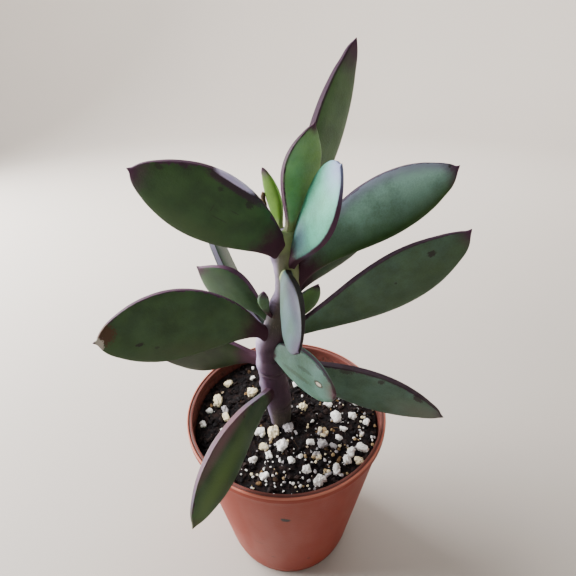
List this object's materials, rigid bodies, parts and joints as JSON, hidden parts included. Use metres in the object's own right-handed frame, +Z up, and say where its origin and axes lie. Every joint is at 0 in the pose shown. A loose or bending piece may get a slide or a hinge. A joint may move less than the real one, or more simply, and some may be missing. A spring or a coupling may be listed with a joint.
{
  "type": "potted senecio",
  "caption": "Young succulent with a crooked fleshy stem and thick, flat, upright pointed leaves, planted in gritty soil in a small tapered plastic pot.",
  "frame": {"origin": "centre of the pot's flat underside", "axes": "+Z up along the pot's axis; -Y towards the side the plant is best seen from; +X to that viewer's right"},
  "size_m": [0.1247, 0.1039, 0.2316],
  "materials": {
    "pot": "satin moulded plastic",
    "soil": "loose damp potting mix with white grit",
    "stem": "waxy fleshy stem",
    "leaf": "waxy leaf",
    "bloomed_leaf": "leaf with a pale waxy bloom",
    "young_leaf": "fresh waxy leaf"
  },
  "bodies": {
    "root": {"pot": "pot", "soil": "soil", "stem": "stem", "leaf_upper_left": "leaf", "leaf_back_left": "leaf", "leaf_mid_left": "leaf", "leaf_small_left": "leaf", "leaf_top": "leaf", "leaf_top_young": "young_leaf", "leaf_top_front": "bloomed_leaf", "leaf_upper_right": "bloomed_leaf", "leaf_back_right": "leaf", "leaf_mid_right": "leaf", "leaf_front": "bloomed_leaf", "leaf_low_front": "bloomed_leaf", "leaf_low_right": "leaf", "leaf_low_left": "leaf", "leaf_over_rim": "leaf", "leaf_young": "young_leaf", "shoot_left": "young_leaf", "shoot_right": "young_leaf"}
  },
  "joints": []
}
